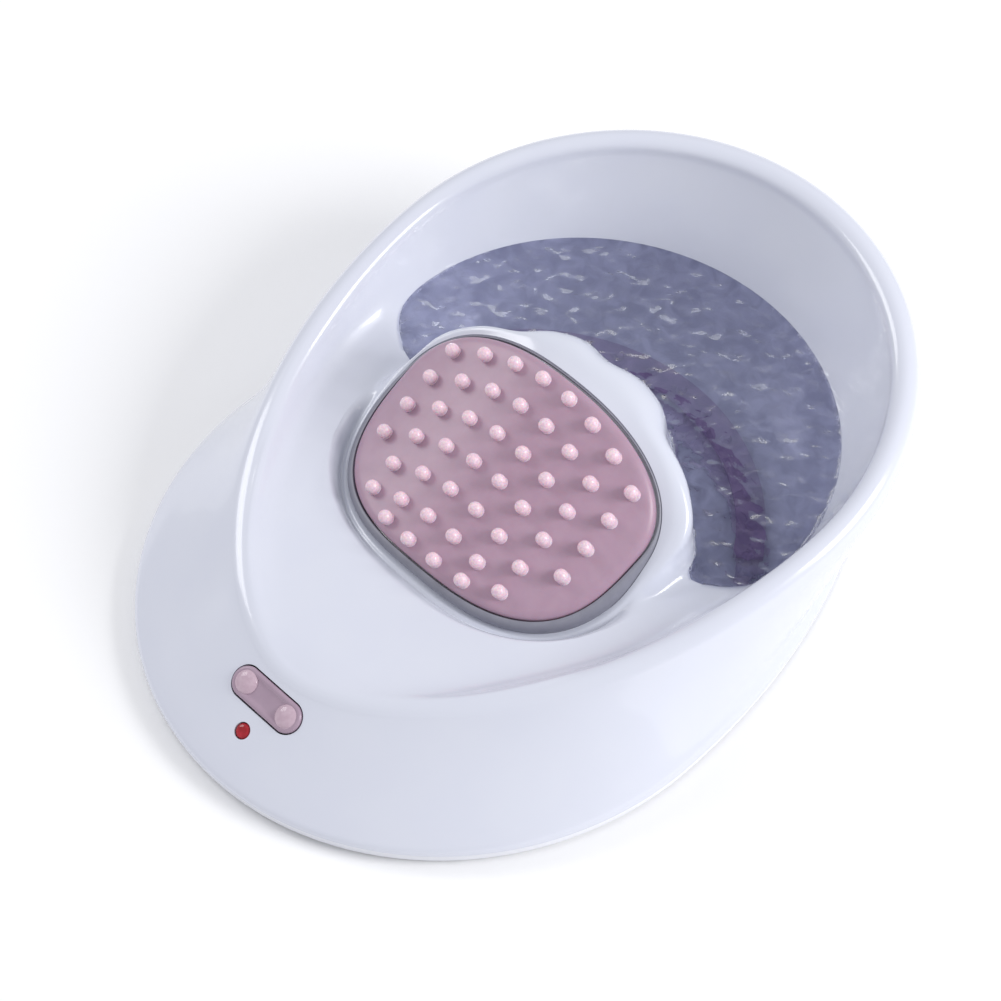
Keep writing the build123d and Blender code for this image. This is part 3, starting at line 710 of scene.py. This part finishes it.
# ---------------------------------------------------------------- water's look
# Half glassy and half see-through, so that the strip on the bowl's floor shows. Small cells
# and a swell move its highlights, and a mottled tint on the see-through half is painted light: painted
# caustics, patches of light and shade seen through the water.
water_look = new_material("water_look", (0.44, 0.45, 0.56), 0.03, Transmission_Weight=1.0, IOR=1.33)
nodes, links = water_look.node_tree.nodes, water_look.node_tree.links
cells = texture(water_look, "ShaderNodeTexVoronoi", Scale=190)
cells.feature = "SMOOTH_F1"
cells.inputs["Smoothness"].default_value = 0.4
swell = texture(water_look, "ShaderNodeTexNoise", Scale=110, Detail=3, Distortion=0.8)
height = nodes.new("ShaderNodeMath")
height.operation = "ADD"
links.new(cells.outputs["Distance"], height.inputs[0])
links.new(swell.outputs["Fac"], height.inputs[1])
bump(water_look, height.outputs["Value"], 0.34, 0.002)
# painted caustics: a noise ramp lightens and darkens, in patches, what is seen through the water
painted_caustic_noise = texture(water_look, "ShaderNodeTexNoise", Scale=170, Detail=4, Distortion=0.9)
painted_caustic_tint = shade_between(water_look, painted_caustic_noise, (0.40, 0.41, 0.52), (0.68, 0.69, 0.80), 0.38, 0.66)
clear = nodes.new("ShaderNodeBsdfTransparent")
links.new(painted_caustic_tint, clear.inputs["Color"])
blend = nodes.new("ShaderNodeMixShader")
blend.inputs["Fac"].default_value = 0.55
links.new(nodes["Principled BSDF"].outputs["BSDF"], blend.inputs[1])
links.new(clear.outputs["BSDF"], blend.inputs[2])
links.new(blend.outputs["Shader"], nodes["Material Output"].inputs["Surface"])

# ---------------------------------------------------------------- which piece has which look
for piece, look in (
    (shell, gloss_white), (pad, pad_pink), (nubs, nub_pink), (gasket, gasket_gray),
    (rocker, rocker_pink), (lamp, lamp_red), (water, water_look),
):
    paint(piece, look)
for dome in domes:
    paint(dome, dome_pink)

NODE_LOOKS = (
    (pan_white, ("base_pan", "battery_door")),
    (seal_gray, ("shell_seal", "door_gasket", "rubber_feet")),
    (strip_purple, ("fingertip_strip",)),
    (inner_plastic, ("pad_carrier", "pad_chassis", "motor_saddle", "rocker_cradle")),
    (steel, ("case_screws", "contacts_front", "contacts_back", "pad_springs", "motor_can",
             "motor_shaft", "motor_strap", "rocker_pin")),
    (brass, ("eccentric_weight",)),
    (board_green, ("circuit_board",)),
    (switch_black, ("switch_left", "switch_right")),
    (cell_wrap, ("battery_1", "battery_2", "battery_3", "battery_4")),
)
for look, names in NODE_LOOKS:
    for name in names:
        paint(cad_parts[name], look)

# ---------------------------------------------------------------- floor, light and camera
FLOOR_DROP = 0.0002             # in metres, like the rest of this section
LIGHT_AIM = (0, 0, 0.03)
CAMERA_TARGET = (0.00126, -0.01155, 0.030)
CAMERA_DISTANCE = 1.0
AZIMUTH, ELEVATION = math.radians(45.6), math.radians(53.0)

bpy.ops.mesh.primitive_plane_add(size=6, location=(0, 0, -FLOOR_DROP))
ground = bpy.context.object
ground.name = "studio_floor"
paint(ground, new_material("studio_floor", (0.98, 0.98, 0.985), 0.9))

world = bpy.data.worlds.new("studio")
bpy.context.scene.world = world
world.use_nodes = True
sky = world.node_tree.nodes["Background"]
sky.inputs["Color"].default_value = (0.95, 0.96, 1.0, 1)
sky.inputs["Strength"].default_value = 0.66


def point_at(obj, spot, target):
    """Adds a light or camera to the scene at a spot, looking at a target."""
    obj.location = spot
    obj.rotation_euler = (Vector(target) - Vector(spot)).to_track_quat("-Z", "Y").to_euler()
    bpy.context.collection.objects.link(obj)


def soft_light(name, spot, size, power):
    data = bpy.data.lights.new(name, "AREA")
    data.size = size
    data.energy = power
    point_at(bpy.data.objects.new(name, data), spot, LIGHT_AIM)


soft_light("key", (1.2, 0.65, 0.9), 0.7, 16)
soft_light("fill", (-1.1, -0.35, 0.9), 0.6, 5)

away = Vector((
    math.sin(AZIMUTH) * math.cos(ELEVATION),
    -math.cos(AZIMUTH) * math.cos(ELEVATION),
    math.sin(ELEVATION),
))
camera_data = bpy.data.cameras.new("camera")
camera_data.sensor_width = 36
camera_data.lens = 121.9
camera_data.clip_start = 0.01
camera = bpy.data.objects.new("camera", camera_data)
point_at(camera, Vector(CAMERA_TARGET) + CAMERA_DISTANCE * away, CAMERA_TARGET)
bpy.context.scene.camera = camera
bpy.context.scene.view_settings.view_transform = "Standard"

low, high = cad_size
